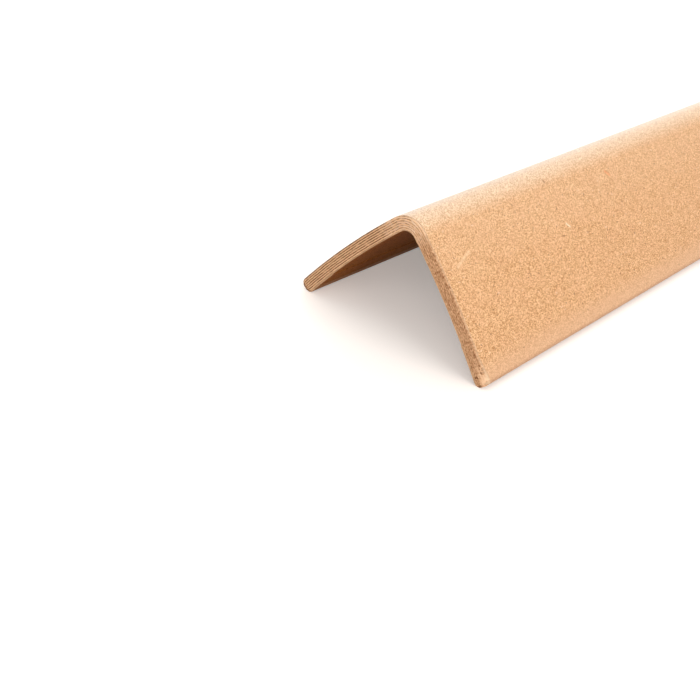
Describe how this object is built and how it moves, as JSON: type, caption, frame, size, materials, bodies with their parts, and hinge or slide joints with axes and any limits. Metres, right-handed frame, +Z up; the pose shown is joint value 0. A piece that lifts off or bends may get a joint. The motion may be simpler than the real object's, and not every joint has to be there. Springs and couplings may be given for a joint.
{
  "type": "pallet edge protector",
  "caption": "Angle profile of laminated kraft paperboard with rolled leg edges, laid over the edges of a palletised load to spread strap pressure and stiffen the corners.",
  "frame": {"origin": "middle of the length and width, on the surface that the two leg edges rest on", "axes": "+X along the length, +Z up through the bend, legs leaning to +Y and -Y"},
  "size_m": [0.4, 0.065, 0.0358],
  "materials": {
    "kraft_board": "matte kraft paper"
  },
  "bodies": {
    "root": {"edge_protector": "kraft_board"}
  },
  "joints": []
}
